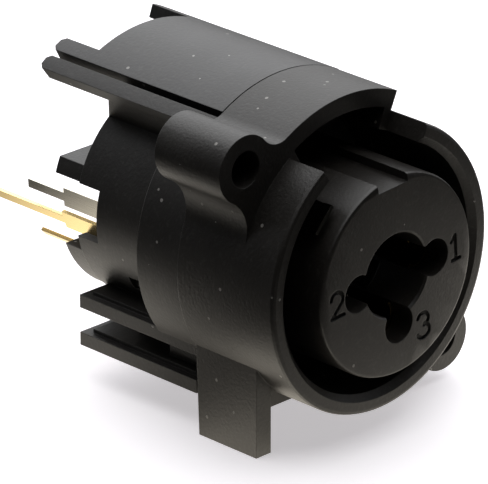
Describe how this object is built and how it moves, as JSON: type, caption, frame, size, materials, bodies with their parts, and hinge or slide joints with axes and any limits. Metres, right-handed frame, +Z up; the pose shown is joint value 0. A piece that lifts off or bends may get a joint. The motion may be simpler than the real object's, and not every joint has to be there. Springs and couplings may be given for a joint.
{
  "type": "combined xlr and jack panel socket",
  "caption": "Round panel socket for a three-pole round plug or a 6.35 mm jack plug, with two screw ears, an arched hood and straight rear tails.",
  "frame": {"origin": "on the socket axis, in the plane where the ears meet the panel", "axes": "-Y out of the mating face, +Z up as in the picture, +X to the right seen from the front"},
  "size_m": [0.026, 0.0363, 0.026],
  "materials": {
    "housing_plastic": "fine satin moulding",
    "insert_plastic": "fine satin moulding",
    "rear_plastic": "satin moulding",
    "gold_plate": "thin gold plating on stamped bronze",
    "tinned_metal": "bright tin plating"
  },
  "bodies": {
    "root": {"front_housing": "housing_plastic", "socket_insert": "insert_plastic", "rear_body": "rear_plastic", "top_cover": "rear_plastic", "contact_carrier": "rear_plastic", "xlr_contact_1": "gold_plate", "xlr_contact_2": "tinned_metal", "xlr_contact_3": "gold_plate", "jack_tip_spring": "gold_plate", "jack_ring_spring": "gold_plate", "jack_sleeve_spring": "gold_plate", "jack_tip_switch": "gold_plate", "jack_ring_switch": "gold_plate", "jack_sleeve_switch": "gold_plate", "shell_ground_contact": "tinned_metal", "retention_spring": "tinned_metal"}
  },
  "joints": []
}
